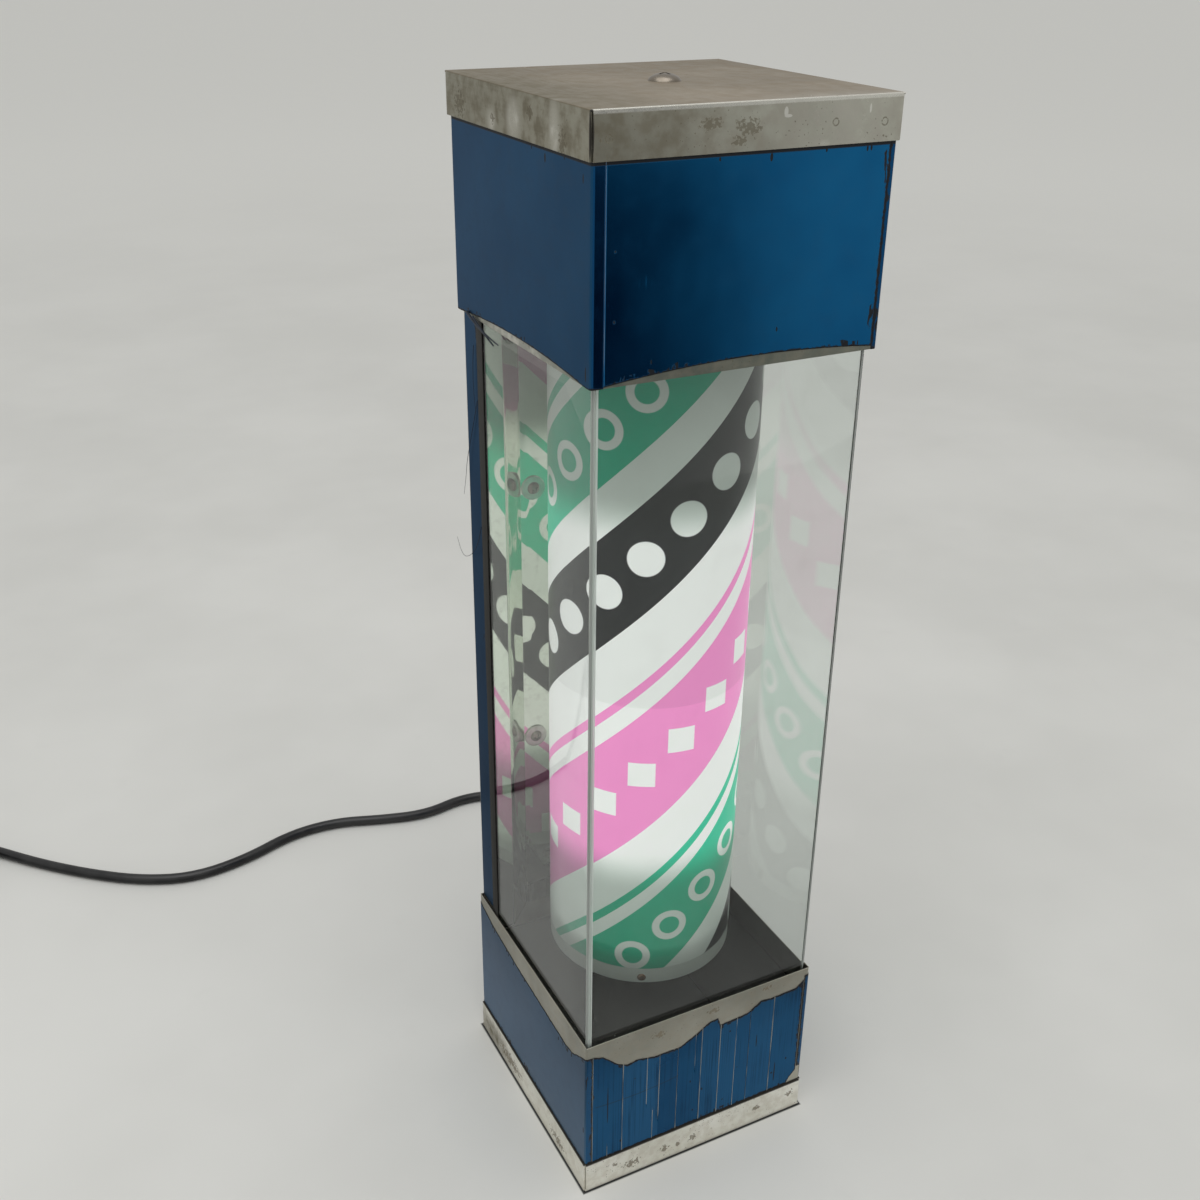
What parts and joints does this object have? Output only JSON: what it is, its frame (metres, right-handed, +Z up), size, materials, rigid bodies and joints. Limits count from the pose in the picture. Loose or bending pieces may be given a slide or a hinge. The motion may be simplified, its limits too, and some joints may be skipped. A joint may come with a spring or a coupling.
{
  "type": "barber pole",
  "caption": "Square table-top barber pole of sheet steel with a lit, motor-driven drum that turns behind a clear bent window.",
  "frame": {"origin": "centre of the base tray's underside, on the surface that it stands on", "axes": "+Z up along the drum's axis, -Y out of the front face, +Y to the back where the mains cord leaves, +X to the right of the front"},
  "size_m": [0.5491, 0.544, 0.6034],
  "materials": {
    "lid_steel": "brushed, tarnished",
    "skirt_steel": "satin with rust specks",
    "casing_steel": "satin",
    "blue_film": "metallic film, satin",
    "clear_sheet": "clear acrylic",
    "mirror_sheet": "polished stainless",
    "deck_paint": "satin dark grey",
    "drum_plastic": "translucent",
    "drum_print": "printed translucent film",
    "screw_steel": "bright",
    "rivet_brass": "dull",
    "zinc_steel": "zinc plated",
    "bearing_brass": "turned",
    "gear_plastic": "moulded",
    "motor_paint": "plated",
    "coil_tape": "taped winding",
    "magnet": "ferrite",
    "black_rubber": "satin",
    "cord_black": "satin",
    "plug_brass": "bright",
    "lamp_glass": "phosphor coated",
    "lamp_cap": "satin",
    "holder_plastic": "moulded",
    "ballast_paint": "painted",
    "starter_plastic": "moulded",
    "lead_plastic": "insulation"
  },
  "bodies": {
    "root": {"base_tray": "skirt_steel", "lower_housing": "casing_steel", "lower_film_front": "blue_film", "lower_film_wrap": "blue_film", "ledge_frame": "casing_steel", "deck_plate": "deck_paint", "deck_cover": "deck_paint", "window": "clear_sheet", "window_channel_left": "black_rubber", "window_channel_right": "black_rubber", "spine": "casing_steel", "spine_film": "blue_film", "reflector": "mirror_sheet", "reflector_screws": "screw_steel", "reflector_washers": "screw_steel", "upper_housing": "casing_steel", "upper_film_front": "blue_film", "upper_film_wrap": "blue_film", "housing_screws": "screw_steel", "top_cap": "lid_steel", "cap_bridge": "zinc_steel", "cap_nut": "screw_steel", "cap_screw": "screw_steel", "motor_plate": "zinc_steel", "motor_base": "motor_paint", "motor_case": "motor_paint", "motor_coil": "coil_tape", "gear_pins": "bearing_brass", "shaft_bush": "bearing_brass", "lamp_bracket": "zinc_steel", "lamp_holder_lower": "holder_plastic", "lamp_holder_upper": "holder_plastic", "lamp_glass": "lamp_glass", "lamp_caps": "lamp_cap", "starter": "starter_plastic", "starter_socket": "holder_plastic", "ballast": "ballast_paint", "ballast_screws": "screw_steel", "chassis_screws": "screw_steel", "terminal_block": "holder_plastic", "inner_leads": "lead_plastic", "motor_lead": "lead_plastic", "cord_gland": "black_rubber", "cord": "cord_black", "cord_coil": "cord_black", "cord_ties": "cord_black", "plug_body": "cord_black", "plug_pins": "plug_brass"},
    "drum": {"drum_tube": "drum_plastic", "drum_print": "drum_print", "drum_bottom_ring": "drum_plastic", "drum_spider": "zinc_steel", "drum_rivets": "rivet_brass", "drum_hub": "bearing_brass", "hub_screws": "screw_steel", "hub_set_screw": "screw_steel", "drive_shaft": "screw_steel", "drive_gear": "gear_plastic"},
    "idler": {"idler_gear": "gear_plastic"},
    "rotor": {"motor_rotor": "magnet"}
  },
  "joints": [
    {"name": "drum_spin", "type": "hinge", "parent": "root", "child": "drum", "pos_m": [0, 0, 0.31], "axis": [0, 0, 1], "continuous": true},
    {"name": "idler_spin", "type": "hinge", "parent": "root", "child": "idler", "pos_m": [0, 0.015, 0.523], "axis": [0, 0, 1], "continuous": true},
    {"name": "rotor_spin", "type": "hinge", "parent": "root", "child": "rotor", "pos_m": [0, 0, 0.532], "axis": [0, 0, 1], "continuous": true}
  ],
  "couplings": [
    {"joint": "idler_spin", "follows": "drum_spin", "ratio": -4},
    {"joint": "rotor_spin", "follows": "drum_spin", "ratio": 16}
  ]
}
